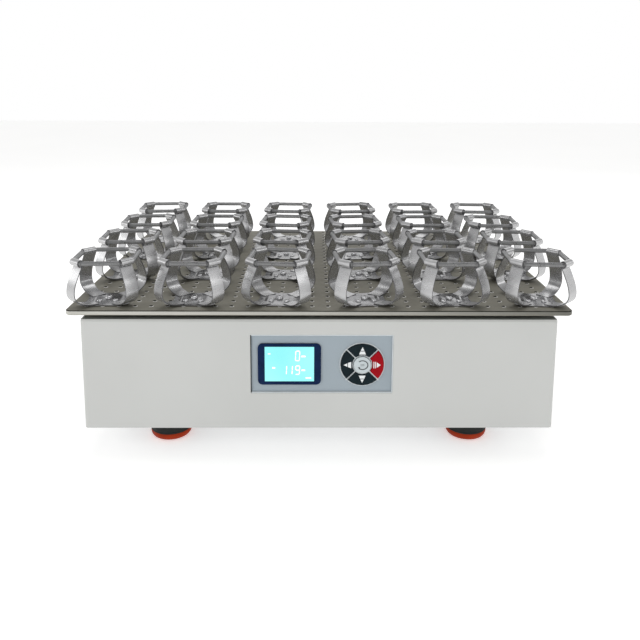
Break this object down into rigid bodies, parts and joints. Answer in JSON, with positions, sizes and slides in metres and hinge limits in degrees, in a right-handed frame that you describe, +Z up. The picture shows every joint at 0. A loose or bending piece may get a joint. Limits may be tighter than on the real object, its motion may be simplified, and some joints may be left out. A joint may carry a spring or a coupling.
{
  "type": "benchtop orbital shaker",
  "caption": "Benchtop orbital shaker: low case on rubber feet, display and keypad in front, and a perforated platform of sprung flask clamps that moves round a small level circle.",
  "frame": {"origin": "on the floor, under the middle of the platform at rest", "axes": "+Z up, +Y to the back, +X to the right as seen from the front"},
  "size_m": [0.6374, 0.4612, 0.2521],
  "materials": {
    "olive_plate": "satin olive-grey anodised look",
    "stainless": "bright rolled stainless steel",
    "spring_steel": "drawn spring wire",
    "case_paint": "fine-texture light grey powder coat",
    "galvanised": "zinc-plated sheet",
    "aluminium": "machined",
    "bearing_steel": "ground",
    "black_oxide": "black oxide",
    "cast_iron": "as cast",
    "motor_black": "black paint",
    "belt_rubber": "moulded",
    "foot_rubber": "matt moulded",
    "foot_sole": "matt moulded orange-red",
    "panel_grey_blue": "fine-texture fascia",
    "display_frame": "navy frame",
    "screen": "lit display",
    "key_dark": "satin",
    "key_red": "satin",
    "key_silver": "satin",
    "marking_white": "printed",
    "circuit_board": "solder mask",
    "black_plastic": "fine texture",
    "rocker_plastic": "gloss"
  },
  "bodies": {
    "base": {"case_shell": "case_paint", "base_pan": "galvanised", "chassis_plate": "galvanised", "main_bearing": "bearing_steel", "motor": "motor_black", "drive_belt": "belt_rubber", "control_panel": "panel_grey_blue", "display_module": "display_frame", "control_board": "circuit_board", "power_supply": "galvanised", "power_inlet": "black_plastic", "foot_front_left": "foot_rubber", "foot_front_right": "foot_rubber", "foot_rear_left": "foot_rubber", "foot_rear_right": "foot_rubber"},
    "crank": {"main_spindle": "bearing_steel", "driven_pulley": "aluminium", "counterweight": "cast_iron"},
    "platform": {"carriage_frame": "aluminium", "crank_bearing": "bearing_steel", "platform_plate": "olive_plate", "plate_bolt_1": "black_oxide", "plate_bolt_2": "black_oxide", "plate_bolt_3": "black_oxide", "plate_bolt_4": "black_oxide", "flask_clamp_r1c1": "stainless", "flask_clamp_r1c2": "stainless", "flask_clamp_r1c3": "stainless", "flask_clamp_r1c4": "stainless", "flask_clamp_r1c5": "stainless", "flask_clamp_r1c6": "stainless", "flask_clamp_r2c1": "stainless", "flask_clamp_r2c2": "stainless", "flask_clamp_r2c3": "stainless", "flask_clamp_r2c4": "stainless", "flask_clamp_r2c5": "stainless", "flask_clamp_r2c6": "stainless", "flask_clamp_r3c1": "stainless", "flask_clamp_r3c2": "stainless", "flask_clamp_r3c3": "stainless", "flask_clamp_r3c4": "stainless", "flask_clamp_r3c5": "stainless", "flask_clamp_r3c6": "stainless", "flask_clamp_r4c1": "stainless", "flask_clamp_r4c2": "stainless", "flask_clamp_r4c3": "stainless", "flask_clamp_r4c4": "stainless", "flask_clamp_r4c5": "stainless", "flask_clamp_r4c6": "stainless"},
    "rotor": {"motor_pulley": "aluminium"},
    "idler_1": {"idler_crank_1": "bearing_steel"},
    "idler_2": {"idler_crank_2": "bearing_steel"},
    "idler_3": {"idler_crank_3": "bearing_steel"},
    "idler_4": {"idler_crank_4": "bearing_steel"},
    "button_up": {"key_up": "key_dark"},
    "button_down": {"key_down": "key_dark"},
    "button_left": {"key_left": "key_dark"},
    "button_start_stop": {"key_start_stop": "key_red"},
    "button_set": {"key_set": "key_silver"},
    "rocker": {"power_rocker": "rocker_plastic"}
  },
  "joints": [
    {"name": "crank_spin", "type": "hinge", "parent": "base", "child": "crank", "pos_m": [0, -0.01, 0.12], "axis": [0, 0, 1], "continuous": true},
    {"name": "platform_orbit", "type": "hinge", "parent": "crank", "child": "platform", "pos_m": [0, 0, 0.152], "axis": [0, 0, 1], "continuous": true},
    {"name": "idler_1_spin", "type": "hinge", "parent": "base", "child": "idler_1", "pos_m": [-0.19, -0.14, 0.105], "axis": [0, 0, 1], "continuous": true},
    {"name": "idler_2_spin", "type": "hinge", "parent": "base", "child": "idler_2", "pos_m": [0.19, -0.14, 0.105], "axis": [0, 0, 1], "continuous": true},
    {"name": "idler_3_spin", "type": "hinge", "parent": "base", "child": "idler_3", "pos_m": [0.19, 0.12, 0.105], "axis": [0, 0, 1], "continuous": true},
    {"name": "idler_4_spin", "type": "hinge", "parent": "base", "child": "idler_4", "pos_m": [-0.19, 0.12, 0.105], "axis": [0, 0, 1], "continuous": true},
    {"name": "motor_spin", "type": "hinge", "parent": "base", "child": "rotor", "pos_m": [-0.12, -0.01, 0.12], "axis": [0, 0, 1], "continuous": true},
    {"name": "up_press", "type": "slide", "parent": "base", "child": "button_up", "axis": [0, 1, 0], "range_m": [0, 0.0008], "stiffness_N_per_m": 800, "springref_m": -0.001},
    {"name": "down_press", "type": "slide", "parent": "base", "child": "button_down", "axis": [0, 1, 0], "range_m": [0, 0.0008], "stiffness_N_per_m": 800, "springref_m": -0.001},
    {"name": "left_press", "type": "slide", "parent": "base", "child": "button_left", "axis": [0, 1, 0], "range_m": [0, 0.0008], "stiffness_N_per_m": 800, "springref_m": -0.001},
    {"name": "start_stop_press", "type": "slide", "parent": "base", "child": "button_start_stop", "axis": [0, 1, 0], "range_m": [0, 0.0008], "stiffness_N_per_m": 800, "springref_m": -0.001},
    {"name": "set_press", "type": "slide", "parent": "base", "child": "button_set", "axis": [0, 1, 0], "range_m": [0, 0.0008], "stiffness_N_per_m": 800, "springref_m": -0.001},
    {"name": "rocker_tilt", "type": "hinge", "parent": "base", "child": "rocker", "pos_m": [0.188, 0.1995, 0.088], "axis": [-1, 0, 0], "range_deg": [0, 18]}
  ],
  "couplings": [
    {"joint": "platform_orbit", "follows": "crank_spin", "ratio": -1},
    {"joint": "idler_1_spin", "follows": "crank_spin", "ratio": 1},
    {"joint": "idler_2_spin", "follows": "crank_spin", "ratio": 1},
    {"joint": "idler_3_spin", "follows": "crank_spin", "ratio": 1},
    {"joint": "idler_4_spin", "follows": "crank_spin", "ratio": 1},
    {"joint": "motor_spin", "follows": "crank_spin", "ratio": 3}
  ]
}
